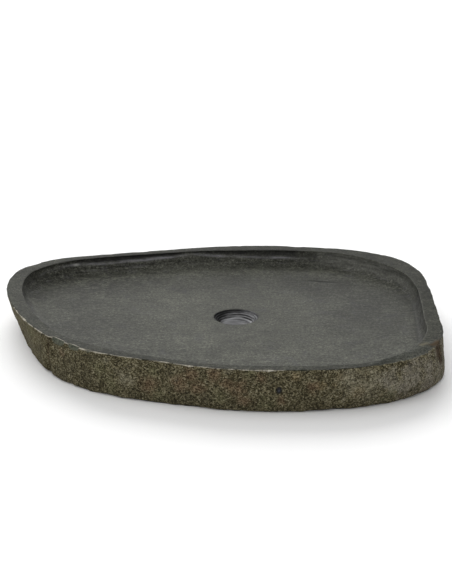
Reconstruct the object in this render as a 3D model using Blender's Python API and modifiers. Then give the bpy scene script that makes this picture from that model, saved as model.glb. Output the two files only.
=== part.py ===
"""Shallow counter-top wash basin cut from one flat river stone.

One slab of dark volcanic river stone, left rough on its outside, is sawn flat
above and below. A shallow bowl is ground out of its top and a stepped waste
hole is drilled through its floor, with nothing fitted in it. A nodule of
darker rock sits in the front skin of the stone.

Units are metres, +Z is up. The origin is on the ground, under the middle of
the stone's overall length and width. -Y is the front, the long straight side.
"""

import math

import bmesh
import bpy
import numpy as np
from mathutils import Matrix, Vector

# ---------------------------------------------------------------- dimensions
THICKNESS = 0.062          # sawn underside to sawn rim
TOP_ARRIS = 0.0012         # worn edge round the top
FOOT_ROUND = 0.005         # rough rounding of the bottom edge

FLOOR_AT_WALL = 0.0392     # height of the bowl's floor at the foot of its wall
FLOOR_AT_DRAIN = 0.0376    # height of the floor at the waste hole
LIP_RUN = 0.0020           # the bowl's lip leans out this far over its first part

DRAIN_X = 0.0267           # waste hole, from the middle of the stone
DRAIN_Y = -0.0055
SEAT_RADIUS = 0.0325       # mouth of the seat for a 65 mm waste flange
SEAT_DEPTH = 0.0100
BORE_RADIUS = 0.0231       # 46 mm bore for a standard waste
SEAT_STEPS = 3             # tool marks down the seat
STEP_TREAD = 0.0006

NODULE_X = 0.0804          # middle of the dark nodule on the front skin
NODULE_Y = -0.2692
NODULE_Z = 0.0334
NODULE_HALF_W = 0.0038
NODULE_HALF_H = 0.0048
NODULE_DEPTH = 0.0090
FIT_GAP = 0.0003

AZIMUTHS = 120             # corners of each ring round the stone

# The natural outline, one station every 12 degrees anticlockwise from +X, mm:
# radius of the top edge, width of the rim, how far the foot is set back under
# the top edge (a minus sign: it stands proud), swell of the side at mid
# height, and width of the cove at the foot of the bowl's wall.
STATIONS = (
    (318, 19, 0, 2, 6),      # right end, the wall is steepest here
    (327, 20, 4, 3, 7),
    (341, 26, 9, 4, 13),
    (345, 34, 12, 5, 24),    # far right shoulder
    (328, 28, 10, 5, 30),
    (300, 25, 11, 6, 32),
    (282, 27, 14, 7, 34),
    (268, 26, 13, 7, 36),    # back
    (260, 20, 10, 6, 36),
    (259, 18, 8, 5, 36),
    (269, 17, 10, 4, 34),
    (292, 17, 13, 4, 32),
    (327, 23, 16, 5, 30),
    (341, 25, 20, 5, 28),    # far left shoulder
    (326, 25, 21, 3, 26),
    (305, 23, 19, 0, 24),    # left end, undercut
    (289, 22, 15, 0, 24),
    (279, 21, 9, 0, 24),
    (272, 19, 5, 1, 24),
    (264, 20, 5, 2, 24),
    (255, 18, 3, 2, 24),
    (250, 14, 3, 3, 24),
    (257, 14, 6, 3, 24),     # front
    (268, 16, 6, 3, 24),
    (283, 17, 5, 3, 22),
    (307, 17, 9, 3, 20),
    (332, 15, 8, 3, 20),
    (350, 25, 2, 2, 20),     # near right corner
    (340, 23, -6, 1, 12),
    (322, 21, -5, 1, 7),
)

STONE_COLOUR = (0.090, 0.088, 0.072, 1.0)
NODULE_COLOUR = (0.020, 0.019, 0.017, 1.0)


# ------------------------------------------------------------------- helpers
def material(name, colour, roughness):
    mat = bpy.data.materials.new(name)
    mat.use_nodes = True
    bsdf = mat.node_tree.nodes["Principled BSDF"]
    bsdf.inputs["Base Color"].default_value = colour
    bsdf.inputs["Roughness"].default_value = roughness
    bsdf.inputs["Metallic"].default_value = 0.0
    mat.diffuse_color = colour
    return mat


def collection(name):
    coll = bpy.data.collections.new(name)
    bpy.context.scene.collection.children.link(coll)
    return coll


def add_object(name, mesh, coll):
    obj = bpy.data.objects.new(name, mesh)
    coll.objects.link(obj)
    return obj


def around(column, angle):
    """Smooth closed curve through one column of the stations, in metres."""
    count = len(STATIONS)
    place = (angle / (2.0 * math.pi) * count) % count
    i = int(place)
    t = place - i
    a, b, c, d = (STATIONS[(i + k) % count][column] for k in (-1, 0, 1, 2))
    value = 0.5 * (2 * b + (c - a) * t + (2 * a - 5 * b + 4 * c - d) * t * t
                   + (3 * b - a - 3 * c + d) * t ** 3)
    return value / 1000.0


def side_ring(z, extra=0.0):
    """One ring of the stone's outside at height z, drawn in by extra."""
    ring = []
    for k in range(AZIMUTHS):
        angle = 2.0 * math.pi * k / AZIMUTHS
        share = 1.0 - z / THICKNESS
        radius = (around(0, angle) - around(2, angle) * share
                  + around(3, angle) * math.sin(math.pi * share) - extra)
        ring.append((radius * math.cos(angle), radius * math.sin(angle), z))
    return ring


def bowl_ring(phi):
    """One ring of the bowl: phi runs from 0 at the lip to 1 at the floor."""
    depth = THICKNESS - FLOOR_AT_WALL
    ring = []
    for k in range(AZIMUTHS):
        angle = 2.0 * math.pi * k / AZIMUTHS
        lip = around(0, angle) - around(1, angle)
        cove = around(4, angle)
        quarter = 0.5 * math.pi * phi
        run = LIP_RUN * phi + cove * (1.0 - math.cos(quarter)) ** 1.15
        drop = depth * math.sin(quarter) ** 0.9
        radius = lip - run
        ring.append((radius * math.cos(angle), radius * math.sin(angle),
                     THICKNESS - drop))
    return ring


def loft(name, rings, centre, coll, low_tip=None):
    """Closed body through rings of equal count, listed from the ground up."""
    bm = bmesh.new()
    layers = []
    for ring in rings:
        layers.append([bm.verts.new((x - centre.x, y - centre.y, z))
                       for x, y, z in ring])
    for low, high in zip(layers, layers[1:]):
        for k in range(len(low)):
            n = (k + 1) % len(low)
            bm.faces.new((low[k], low[n], high[n], high[k]))
    if low_tip is None:
        bm.faces.new(list(reversed(layers[0])))
    else:
        tip = bm.verts.new(low_tip)
        for k in range(len(layers[0])):
            n = (k + 1) % len(layers[0])
            bm.faces.new((layers[0][n], layers[0][k], tip))
    bm.faces.new(layers[-1])
    bm.normal_update()
    mesh = bpy.data.meshes.new(name)
    bm.to_mesh(mesh)
    bm.free()
    return add_object(name, mesh, coll)


def turned(name, profile, steps, x, y, coll):
    """Body turned about a vertical axis at x, y from a profile at +X."""
    bm = bmesh.new()
    points = [bm.verts.new((r, 0.0, z)) for r, z in profile]
    for a, b in zip(points, points[1:]):
        bm.edges.new((a, b))
    mesh = bpy.data.meshes.new(name)
    bm.to_mesh(mesh)
    bm.free()
    obj = add_object(name, mesh, coll)
    obj.location = (x, y, 0.0)
    screw = obj.modifiers.new("Turn", "SCREW")
    screw.axis = "Z"
    screw.angle = 2.0 * math.pi
    screw.steps = steps
    screw.render_steps = steps
    screw.use_merge_vertices = True
    screw.merge_threshold = 0.00005
    screw.use_smooth_shade = True
    return obj


def plug(name, half_w, half_h, depth, place, outward, coll):
    """Oval plug whose outer end is at place and whose axis runs inwards."""
    bm = bmesh.new()
    bmesh.ops.create_cone(bm, cap_ends=True, segments=20, radius1=1.0,
                          radius2=1.0, depth=depth)
    bmesh.ops.scale(bm, vec=(half_w, half_h, 1.0), verts=bm.verts)
    bmesh.ops.translate(bm, vec=(0.0, 0.0, -depth / 2.0), verts=bm.verts)
    side = Vector((0.0, 0.0, 1.0)).cross(outward).normalized()
    up = outward.cross(side).normalized()
    turn = Matrix((side, up, outward)).transposed().to_4x4()
    bmesh.ops.transform(bm, matrix=Matrix.Translation(place) @ turn,
                        verts=bm.verts)
    mesh = bpy.data.meshes.new(name)
    bm.to_mesh(mesh)
    bm.free()
    return add_object(name, mesh, coll)


def cut(obj, cutter, name):
    cutter.hide_render = True
    cutter.display_type = "WIRE"
    boolean = obj.modifiers.new(name, "BOOLEAN")
    boolean.operation = "DIFFERENCE"
    boolean.solver = "EXACT"
    boolean.object = cutter


# --------------------------------------------------------------------- build
def main():
    for obj in list(bpy.data.objects):
        bpy.data.objects.remove(obj, do_unlink=True)

    parts = collection("river_stone_basin_part")
    cutters = collection("cutters")

    # outside of the stone, from the sawn underside to the sawn rim
    levels = [(0.0, FOOT_ROUND), (0.0016, 0.45 * FOOT_ROUND),
              (0.0052, 0.12 * FOOT_ROUND), (0.0110, 0.0)]
    levels += [(z, 0.0) for z in np.linspace(0.0200, 0.0520, 4)]
    levels += [(THICKNESS - TOP_ARRIS, 0.0), (THICKNESS, TOP_ARRIS)]
    sides = [side_ring(float(z), extra) for z, extra in levels]

    spread = np.array([point for ring in sides for point in ring])
    middle = (spread.min(axis=0) + spread.max(axis=0)) / 2.0
    centre = Vector((float(middle[0]), float(middle[1]), 0.0))

    stone = loft("river_stone_basin", sides, centre, parts)
    stone.data.materials.append(material("honed_river_stone", STONE_COLOUR, 0.62))

    # bowl: lip, wall and cove from rings, floor falling to the waste hole
    steps = (1.0, 0.86, 0.72, 0.56, 0.40, 0.24, 0.10, 0.0)
    bowl = [bowl_ring(phi) for phi in steps]
    bowl.append([(x, y, THICKNESS + 0.010) for x, y, z in bowl[-1]])
    bowl_cutter = loft("bowl_cutter", bowl, centre, cutters,
                       low_tip=(DRAIN_X, DRAIN_Y, FLOOR_AT_DRAIN - 0.0002))
    cut(stone, bowl_cutter, "Bowl")

    # waste hole: flange seat with tool marks, then the bore to the underside
    profile = [(0.0, FLOOR_AT_DRAIN + 0.012),
               (SEAT_RADIUS, FLOOR_AT_DRAIN + 0.012),
               (SEAT_RADIUS, FLOOR_AT_DRAIN)]
    slope = (SEAT_RADIUS - BORE_RADIUS - SEAT_STEPS * STEP_TREAD) / SEAT_STEPS
    radius, z = SEAT_RADIUS, FLOOR_AT_DRAIN
    for _ in range(SEAT_STEPS):
        radius -= slope
        z -= SEAT_DEPTH / SEAT_STEPS
        profile.append((radius, z))
        radius -= STEP_TREAD
        profile.append((radius, z - 0.0001))
    profile += [(BORE_RADIUS, -0.006), (0.0, -0.006)]
    hole_cutter = turned("waste_hole_cutter", profile, 64, DRAIN_X, DRAIN_Y,
                         cutters)
    cut(stone, hole_cutter, "Waste hole")

    # dark nodule flush with the front skin, in a pocket of its own shape
    outward = Vector((0.11, -1.0, -0.09)).normalized()
    place = Vector((NODULE_X, NODULE_Y, NODULE_Z))
    nodule = plug("dark_inclusion", NODULE_HALF_W, NODULE_HALF_H, NODULE_DEPTH,
                  place, outward, parts)
    nodule.data.materials.append(material("dark_mineral", NODULE_COLOUR, 0.55))
    pocket = plug("inclusion_pocket_cutter", NODULE_HALF_W + FIT_GAP,
                  NODULE_HALF_H + FIT_GAP, NODULE_DEPTH + FIT_GAP + 0.010,
                  place + outward * 0.010, outward, cutters)
    cut(stone, pocket, "Inclusion pocket")

    for obj in (stone, nodule):
        obj.data.shade_smooth()
        obj.data.set_sharp_from_angle(angle=math.radians(35.0))


main()
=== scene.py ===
"""Looks of the river stone basin: one finely modelled stone and its dark nodule, on a pale floor."""

import math

import bpy
import numpy as np
from mathutils import Matrix, Vector


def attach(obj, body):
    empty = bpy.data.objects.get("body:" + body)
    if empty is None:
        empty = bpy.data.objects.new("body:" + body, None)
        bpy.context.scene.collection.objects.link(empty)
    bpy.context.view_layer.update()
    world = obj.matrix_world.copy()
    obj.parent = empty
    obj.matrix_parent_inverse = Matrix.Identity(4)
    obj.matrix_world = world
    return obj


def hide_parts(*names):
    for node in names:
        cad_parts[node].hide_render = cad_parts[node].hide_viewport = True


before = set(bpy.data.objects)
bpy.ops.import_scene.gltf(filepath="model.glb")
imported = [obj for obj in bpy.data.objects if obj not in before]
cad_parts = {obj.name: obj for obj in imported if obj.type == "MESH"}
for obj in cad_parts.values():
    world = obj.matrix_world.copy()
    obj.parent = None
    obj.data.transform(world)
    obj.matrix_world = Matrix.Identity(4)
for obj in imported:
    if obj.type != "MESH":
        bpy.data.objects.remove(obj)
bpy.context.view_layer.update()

# ------------------------------------------------------------------ the stone's own dimensions, mm
THICKNESS = 62.0
FOOT_ROUND = 5.0
TOP_ARRIS = 1.2
FLOOR_AT_WALL = 39.2
FLOOR_AT_DRAIN = 37.6
LIP_RUN = 2.0
DRAIN = np.array([26.7, -5.5])
SEAT_R = 32.5
SEAT_DEPTH = 10.0
BORE_R = 23.1
NODULE = np.array([80.4, -269.2, 33.4])
NODULE_OUT = np.array([0.11, -1.0, -0.09]) / np.linalg.norm([0.11, -1.0, -0.09])

# radius of the top edge, width of the rim, set-back of the foot, swell of the side, width of the cove; every 12 degrees from +X
STATIONS = np.array((
    (318, 19, 0, 2, 6), (327, 20, 4, 3, 7), (341, 26, 9, 4, 13), (345, 34, 12, 5, 24),
    (328, 28, 10, 5, 30), (300, 25, 11, 6, 32), (282, 27, 14, 7, 34), (268, 26, 13, 7, 36),
    (260, 20, 10, 6, 36), (259, 18, 8, 5, 36), (269, 17, 10, 4, 34), (292, 17, 13, 4, 32),
    (327, 23, 16, 5, 30), (341, 25, 20, 5, 28), (326, 25, 21, 3, 26), (305, 23, 19, 0, 24),
    (289, 22, 15, 0, 24), (279, 21, 9, 0, 24), (272, 19, 5, 1, 24), (264, 20, 5, 2, 24),
    (255, 18, 3, 2, 24), (250, 14, 3, 3, 24), (257, 14, 6, 3, 24), (268, 16, 6, 3, 24),
    (283, 17, 5, 3, 22), (307, 17, 9, 3, 20), (332, 15, 8, 3, 20), (350, 25, 2, 2, 20),
    (340, 23, -6, 1, 12), (322, 21, -5, 1, 7),
), float)


def around(column, angle):
    """Closed smooth curve through one column of the stations."""
    count = len(STATIONS)
    place = (np.asarray(angle) / (2 * math.pi) * count) % count
    i = np.floor(place).astype(int)
    t = place - i
    a, b, c, d = (STATIONS[(i + k) % count, column] for k in (-1, 0, 1, 2))
    return 0.5 * (2 * b + (c - a) * t + (2 * a - 5 * b + 4 * c - d) * t * t
                  + (3 * b - a - 3 * c + d) * t ** 3)


def middle_of_stone():
    """The stations are centred on the ground the same way as in the CAD."""
    a = np.arange(120) * 2 * math.pi / 120
    pts = []
    for z, extra in [(0, FOOT_ROUND), (11, 0), (20, 0), (30.667, 0), (41.333, 0), (52, 0),
                     (THICKNESS - TOP_ARRIS, 0), (THICKNESS, TOP_ARRIS)]:
        share = 1 - z / THICKNESS
        r = around(0, a) - around(2, a) * share + around(3, a) * math.sin(math.pi * share) - extra
        pts.append(np.stack([r * np.cos(a), r * np.sin(a)], 1))
    pts = np.concatenate(pts)
    return (pts.min(0) + pts.max(0)) / 2


MIDDLE = middle_of_stone()


# patches of colour in the skin: x, y, z and reach, mm
PATCHES = {
    "rust": ((-90, -235, 26, 13), (-50, -249, 34, 12), (-35, -254, 48, 12), (-26, -256, 32, 12), (-3, -262, 51, 10),
             (27, -267, 37, 12), (35, -266, 19, 9), (84, -268, 20, 7), (125, -268, 37, 9), (-213, -168, 47, 7),
             (58, -269, 51, 7), (11, -265, 41, 10), (-150, 215, 30, 16), (40, 255, 28, 14), (170, 215, 36, 15),
             (-312, 60, 32, 14), (262, 150, 30, 12)),
    "tan": ((102, -270, 52, 7), (136, -268, 40, 6), (153, -265, 40, 4), (159, -265, 52, 7), (186, -257, 27, 10),
            (-60, 248, 40, 12), (300, 60, 35, 12), (-250, 170, 24, 11)),
    "pale": ((-123, -224, 32, 12), (-149, -212, 52, 6), (15, -265, 59, 6), (175, -261, 45, 22), (201, -254, 36, 24), (230, -240, 22, 16),
             (90, 262, 36, 16), (-230, 190, 40, 13), (310, -20, 30, 16)),
    "moss": ((-155, -209, 40, 13), (-82, -238, 49, 9), (-75, -238, 13, 12), (4, -261, 20, 12), (64, -267, 14, 12),
             (-263, -99, 52, 14), (-142, -214, 16, 14), (43, -268, 59, 7), (227, -239, 13, 12), (-290, 110, 26, 18),
             (-20, 255, 22, 16), (210, 195, 24, 16), (305, 20, 20, 14)),
    "ash": ((249, -231, 24, 20), (259, -227, 41, 20), (283, -206, 41, 18), (225, -243, 40, 14), (300, -170, 30, 16),
            (289, -198, 14, 16), (315, -110, 34, 26), (312, -60, 24, 20),
            (130, 245, 40, 18), (-110, 232, 30, 18), (-318, 20, 40, 14)),
    "dark": ((68, -270, 49, 9), (140, -264, 18, 4), (-176, -196, 23, 15), (-196, -182, 32, 13), (-215, -162, 15, 11),
             (-110, -228, 10, 12), (-40, -252, 14, 10), (-247, -120, 31, 9), (-166, -203, 52, 12), (-61, -245, 50, 9),
             (-15, -257, 18, 9), (0, 258, 40, 12), (-280, 140, 34, 12), (240, 170, 40, 12)),
}


# ------------------------------------------------------------------ noise
def _hash(ix, iy, iz, seed):
    with np.errstate(over="ignore"):
        h = (ix.astype(np.int64).astype(np.uint32) * np.uint32(0x9E3779B1)
             ^ iy.astype(np.int64).astype(np.uint32) * np.uint32(0x85EBCA77)
             ^ iz.astype(np.int64).astype(np.uint32) * np.uint32(0xC2B2AE3D)
             ^ np.uint32((seed * 0x27D4EB2F) & 0xFFFFFFFF))
        h ^= h >> np.uint32(15)
        h *= np.uint32(0x2C1B3C6D)
        h ^= h >> np.uint32(12)
        h *= np.uint32(0x297A2D39)
        h ^= h >> np.uint32(15)
    return h.astype(np.float64) / 4294967295.0


def vnoise(p, seed):
    f = np.floor(p)
    t = p - f
    t = t * t * t * (t * (t * 6 - 15) + 10)
    total = 0.0
    for dx in (0, 1):
        wx = t[..., 0] if dx else 1 - t[..., 0]
        for dy in (0, 1):
            wy = t[..., 1] if dy else 1 - t[..., 1]
            for dz in (0, 1):
                wz = t[..., 2] if dz else 1 - t[..., 2]
                total = total + wx * wy * wz * _hash(f[..., 0] + dx, f[..., 1] + dy, f[..., 2] + dz, seed)
    return total * 2 - 1


def fbm(p, size, octaves, seed, gain=0.5):
    """Smooth noise, about -1 to 1, whose largest waves are size mm long."""
    total, amp, norm = 0.0, 1.0, 0.0
    q = p / size
    for k in range(octaves):
        total = total + amp * vnoise(q + 17.3 * k, seed + k)
        norm += amp
        amp *= gain
        q = q * 2.03
    return total / norm * 1.5


def cells(p, size, seed):
    """Distance to the nearest cell centre, to the second nearest, and the nearest cell's own number."""
    q = p / size
    f = np.floor(q)
    d1 = np.full(q.shape[:-1], 9.0)
    d2 = np.full(q.shape[:-1], 9.0)
    own = np.zeros(q.shape[:-1])
    for dx in (-1, 0, 1):
        for dy in (-1, 0, 1):
            for dz in (-1, 0, 1):
                c = f + (dx, dy, dz)
                o = np.stack([_hash(c[..., 0], c[..., 1], c[..., 2], seed + s) for s in (0, 1, 2)], -1)
                d = np.linalg.norm(c + o - q, axis=-1)
                near = d < d1
                d2 = np.where(near, d1, np.minimum(d2, d))
                own = np.where(near, _hash(c[..., 0], c[..., 1], c[..., 2], seed + 3), own)
                d1 = np.where(near, d, d1)
    return d1, d2, own


def smooth(x, a, b):
    t = np.clip((np.asarray(x, float) - a) / (b - a), 0, 1)
    return t * t * (3 - 2 * t)


def bump(x, centre, width):
    return np.exp(-((x - centre) / width) ** 2)


def turn_gap(a, b):
    """Angle from b to a in degrees, -180 to 180."""
    return (a - b + 180.0) % 360.0 - 180.0


# ------------------------------------------------------------------ the stone as one closed grid
COLUMNS = 700


def column_angles():
    """Columns round the stone, closer together at the nodule, the notch and the near right corner."""
    deg = np.linspace(0, 360, 7201)
    dens = (1 + 2.4 * bump(turn_gap(deg, 286.9), 0, 1.7) + 1.0 * bump(turn_gap(deg, 217), 0, 7)
            + 0.8 * bump(turn_gap(deg, 330), 0, 6) + 0.5 * bump(turn_gap(deg, 43), 0, 9))
    total = np.concatenate([[0], np.cumsum((dens[1:] + dens[:-1]) / 2)])
    total /= total[-1]
    return np.radians(np.interp(np.arange(COLUMNS) / COLUMNS, total, deg))


def build_grid():
    th = column_angles()
    deg = np.degrees(th)
    cos, sin = np.cos(th), np.sin(th)
    rt, rim, foot, belly, cove = (around(k, th) for k in range(5))
    swell = 4.4 * bump(turn_gap(deg, 31.5), 0, 12) + 1.0 * bump(turn_gap(deg, 346), 0, 16)
    rt, rim = rt + swell, rim + swell
    line = np.stack([rt * cos, rt * sin, np.zeros_like(th)], -1)     # for noise that follows the edge

    # chips and wear along the top outer edge: how far in and how far down the break goes
    nick = np.clip(fbm(line, 16, 3, 11) - 0.28, 0, None)
    c_in = 1.0 + 0.5 * fbm(line, 9, 2, 12) + 2.2 * nick
    c_dn = 1.1 + 0.5 * fbm(line, 7, 2, 13) + 3.0 * nick
    chip = np.zeros_like(th)
    for centre, half, run, drop in ((216.6, 3.1, 2.6, 6.2), (223.6, 2.4, 2.2, 4.6), (229.3, 1.3, 1.3, 2.6),
                                    (196.0, 2.0, 1.2, 2.0), (262.0, 1.3, 1.0, 1.8), (118.0, 2.6, 2.2, 4.0),
                                    (64.0, 2.2, 2.0, 3.6), (12.0, 2.8, 1.8, 3.4), (150.0, 2.0, 2.2, 3.0)):
        lens = np.sqrt(np.clip(1 - (turn_gap(deg, centre) / half) ** 2, 0, 1))
        c_in = c_in + run * lens
        c_dn = c_dn + drop * lens
        chip = np.maximum(chip, lens * (1.0 if drop > 4.5 else 0.45 if drop > 2.2 else 0.0))
    # worn slope on the near right corner
    slope = smooth(turn_gap(deg, 306), 0, 9) * (1 - smooth(turn_gap(deg, 325.5), 0, 6.5))
    c_in = np.clip(c_in, 0.4, None) * (1 - 0.6 * slope) + slope * np.clip(0.90 * rim - 1.6, 1.0, 18.0)
    c_dn = np.clip(c_dn, 0.4, None) * (1 - 0.6 * slope) + 2.3 * slope
    # notch in the outline at the front left, and a shallow crease at the near right corner
    notch = 3.0 * smooth(turn_gap(deg, 212.4), 0, 1.6) * (1 - smooth(turn_gap(deg, 215), 0, 16))
    crease = 1.6 * bump(turn_gap(deg, 331.2), 0, 0.9)
    edge = rt - notch - 1.0 * crease + 0.35 * fbm(line, 12, 2, 14) - 0.3 - 3.6 * slope

    rows, tags = [], []

    def row(x, y, z, **tag):
        rows.append(np.stack([x, y, z + np.zeros_like(th)], -1))
        tags.append(tag)

    def at(r, z, **tag):
        row(r * cos - MIDDLE[0], r * sin - MIDDLE[1], z, **tag)

    def side_r(z):
        share = 1 - z / THICKNESS
        cut = notch * smooth(z, 0, 50) + crease * smooth(z, 18, 40)
        cut = cut + 2.6 * bump(turn_gap(deg, 211.6 + 0.035 * (z - 40)), 0, 0.75) * (1 - 0.6 * smooth(z, 46, 60))
        cut = cut + 1.8 * bump(turn_gap(deg, 331.0), 0, 1.1) * smooth(z, 20, 44)
        low = 1 - smooth(z, 6, 30)
        cut = cut + low * (3.2 * bump(turn_gap(deg, 209.5), 0, 1.0) + 2.6 * bump(turn_gap(deg, 220.8), 0, 0.9)
                           + 1.2 * np.clip(fbm(line, 18, 2, 16), 0, None) + 4.0 * bump(turn_gap(deg, 322), 0, 9))
        return rt - foot * share + belly * np.sin(math.pi * share) - cut - 3.2 * slope * smooth(z, 18, 58)

    foot_round = FOOT_ROUND * (1 + 0.35 * fbm(line, 22, 3, 15))
    foot_edge_r = side_r(np.zeros_like(th)) - foot_round
    bore = np.stack([DRAIN[0] + (BORE_R + 0.9) * cos, DRAIN[1] + (BORE_R + 0.9) * sin], -1)
    foot_xy = np.stack([foot_edge_r * cos - MIDDLE[0], foot_edge_r * sin - MIDDLE[1]], -1)
    for t in np.linspace(0, 1, 13) ** 0.85:
        q = bore * (1 - t) + foot_xy * t
        row(q[:, 0], q[:, 1], np.zeros_like(th), zone="under", t=t)
    for f in (0.10, 0.28, 0.52, 0.78):
        z = foot_round * f
        inset = foot_round * (1 - np.sqrt(1 - (1 - f) ** 2))
        at(side_r(z) - inset, z, zone="foot")
    # the side, with rows closer together at the nodule's height
    top = THICKNESS - c_dn
    zz = np.linspace(0, 1, 2001)
    dens = 1 + 1.3 * bump(zz * 55 + 6, 33.4, 6.5) + 0.8 * smooth(zz, 0.85, 1)
    total = np.concatenate([[0], np.cumsum((dens[1:] + dens[:-1]) / 2)])
    for f in np.interp(np.linspace(0, 1, 26), total / total[-1], zz):
        z = foot_round + f * (top - foot_round)
        blend = smooth(f, 0.80, 1)
        at(side_r(z) * (1 - blend) + (edge - 0) * blend, z, zone="side", f=f)
    at(edge - 0.34 * c_in, top + 0.55 * c_dn, zone="arris")
    at(edge - 0.72 * c_in, top + 0.88 * c_dn, zone="arris")
    lip = rt - rim
    lip_line = np.stack([lip * cos, lip * sin, np.zeros_like(th)], -1)
    lip = lip + 0.35 * fbm(lip_line, 14, 2, 21)
    lip_in = 0.9 + 0.35 * np.clip(fbm(lip_line, 8, 2, 22), -1, 1.5)
    a, b = edge - c_in, lip + lip_in
    for t in (0.0, 0.08, 0.22, 0.40, 0.60, 0.80, 0.94, 1.0):
        at(a * (1 - t) + b * t, THICKNESS, zone="rim", t=t)
    at(lip + 0.25 * lip_in, THICKNESS - 0.30 * lip_in, zone="lip")
    # wall: a groove under the lip at the back, then a swell, then the cove
    under = smooth(turn_gap(deg, 55), 0, 8) * (1 - smooth(turn_gap(deg, 138), 0, 16))
    under = under * np.clip(0.85 + 0.45 * fbm(lip_line, 42, 2, 23), 0.2, 1.25)
    level = 8.6 + 2.2 * fbm(lip_line, 60, 2, 24) - 2.6 * bump(turn_gap(deg, 101), 0, 9) + 4.2 * bump(turn_gap(deg, 62), 0, 9) - 1.2 * bump(turn_gap(deg, 80), 0, 7)
    left = smooth(turn_gap(deg, 140), 0, 14) * (1 - smooth(turn_gap(deg, 205), 0, 12))
    right = smooth(turn_gap(deg, 340), 0, 14) * (1 - smooth(turn_gap(deg, 26), 0, 10))
    depth = THICKNESS - FLOOR_AT_WALL
    for phi in (0.035, 0.075, 0.12, 0.165, 0.21, 0.255, 0.30, 0.345, 0.39, 0.44, 0.50, 0.57, 0.65, 0.74, 0.84, 0.93, 1.0):
        q = 0.5 * math.pi * phi
        drop = depth * math.sin(q) ** 0.9
        run = LIP_RUN * phi + cove * (1 - math.cos(q)) ** 1.15
        # at the back the wheel ran in under the lip, then left a ledge and a second, lower cut
        run = run - 3.4 * under * smooth(drop, 0.3, 2.6) * (1 - smooth(drop - level, -2.6, 0.4))
        run = run + 3.6 * under * smooth(drop - level, -1.6, 1.0) * (1 - smooth(drop - level, 3.0, 11.0))
        run = run - 1.3 * left * bump(drop, 3.2, 2.2)
        run = run - 1.0 * right * bump(drop, 9.0, 5.0)
        at(lip - run, THICKNESS - drop, zone="wall", phi=phi, drop=drop, level=level)
    toe = rows[-1][:, :2]
    # floor, with a hairline crack that its rows follow
    seat = np.stack([DRAIN[0] + SEAT_R * cos, DRAIN[1] + SEAT_R * sin], -1)
    crack_x = np.array([118, 130, 137, 146, 153, 160, 168, 176, 184, 192, 200.])
    crack_y = np.array([155.5, 153.6, 153.2, 154.6, 153.8, 151.0, 149.6, 148.6, 146.2, 142.0, 138.5])
    ts = np.linspace(0.05, 0.6, 500)
    pts = toe[:, None] * (1 - ts[None, :, None]) + seat[:, None] * ts[None, :, None]
    miss = pts[..., 1] - np.interp(pts[..., 0], crack_x, crack_y)
    hit = np.argmin(np.abs(miss), 1)
    t_crack = ts[hit]
    x_hit = pts[np.arange(COLUMNS), hit, 0]
    on = ((x_hit > 119) & (x_hit < 199) & (deg > 20) & (deg < 70))
    first, last = np.nonzero(on)[0][[0, -1]]
    home = 0.235
    t_line = np.interp(np.arange(COLUMNS), [first - 40, first, last, last + 60],
                       [home, t_crack[first], t_crack[last], home])
    t_line[first:last + 1] = t_crack[first:last + 1]
    on_crack = smooth(np.arange(COLUMNS), first, first + 14) * (1 - smooth(np.arange(COLUMNS), last - 14, last))
    fine = 0.0068
    base = [0.0, 0.012, 0.03, 0.055, 0.085, 0.12, 0.16, 0.20, home - 3 * fine, home - fine, home, home + fine,
            home + 3 * fine, 0.27, 0.32, 0.365, 0.41, 0.46, 0.51, 0.56, 0.61, 0.66, 0.71, 0.76, 0.81, 0.86,
            0.905, 0.945, 0.975, 0.992]
    for k, t0 in enumerate(base[1:]):
        hat = smooth(t0, 0.0, home) * (1 - smooth(t0, home, 0.62))
        t = t0 + (t_line - home) * hat
        q = toe * (1 - t[:, None]) + seat * t[:, None]
        fall = FLOOR_AT_WALL + (FLOOR_AT_DRAIN - FLOOR_AT_WALL) * t ** 0.9
        row(q[:, 0], q[:, 1], fall, zone="floor", t=t0,
            crack=on_crack * (1.0 if abs(t0 - home) < 1e-9 else 0.55 if abs(t0 - home) < 1.5 * fine else 0.0))
    # flange seat with ring marks, then the bore
    row(seat[:, 0], seat[:, 1], FLOOR_AT_DRAIN - 0.15, zone="mouth")
    wob = 0.16 * fbm(np.stack([cos * 30, sin * 30, 0 * cos], -1), 9, 2, 31)
    for step in range(4):
        for saw in (0.05, 0.24, 0.43, 0.55, 0.70, 0.94):
            down = smooth(saw, 0.0, 0.52)
            inward = smooth(saw, 0.48, 1.0)
            f = (step + 0.5 * (down + inward)) / 4
            z = FLOOR_AT_DRAIN - 0.3 - (SEAT_DEPTH - 0.3) * (0.2 * f + 0.8 * (step + down) / 4)
            r = SEAT_R - (SEAT_R - BORE_R) * (0.2 * f + 0.8 * (step + inward) / 4)
            at_seat = 0.35 * fbm(np.stack([cos * 30, sin * 30, 0 * cos + 9 * step], -1), 7, 2, 31 + step)
            row(DRAIN[0] + (r + at_seat * 0.5) * cos, DRAIN[1] + (r + at_seat * 0.5) * sin,
                z + 0.5 * at_seat * (1 - f), zone="seat", f=f, saw=saw)
    low = FLOOR_AT_DRAIN - SEAT_DEPTH
    for f in (0.02, 0.07, 0.13, 0.20, 0.28, 0.36, 0.45, 0.55, 0.66, 0.78, 0.90):
        z = low * (1 - f)
        r = BORE_R + 0.10 * math.sin(f * 61.0) + 0.5 * wob
        row(DRAIN[0] + r * cos, DRAIN[1] + r * sin, z + 0 * th, zone="bore", f=f)
    row(DRAIN[0] + BORE_R * cos, DRAIN[1] + BORE_R * sin, 0.9 + 0 * th, zone="bore", f=0.97)
    return th, deg, np.array(rows), tags, dict(chip=chip, slope=slope, c_in=c_in, c_dn=c_dn, under=under)


def grid_normals(g):
    du = np.roll(g, -1, 1) - np.roll(g, 1, 1)
    dv = np.roll(g, -1, 0) - np.roll(g, 1, 0)
    n = np.cross(du, dv)
    n /= np.maximum(np.linalg.norm(n, axis=-1, keepdims=True), 1e-12)
    return n


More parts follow.
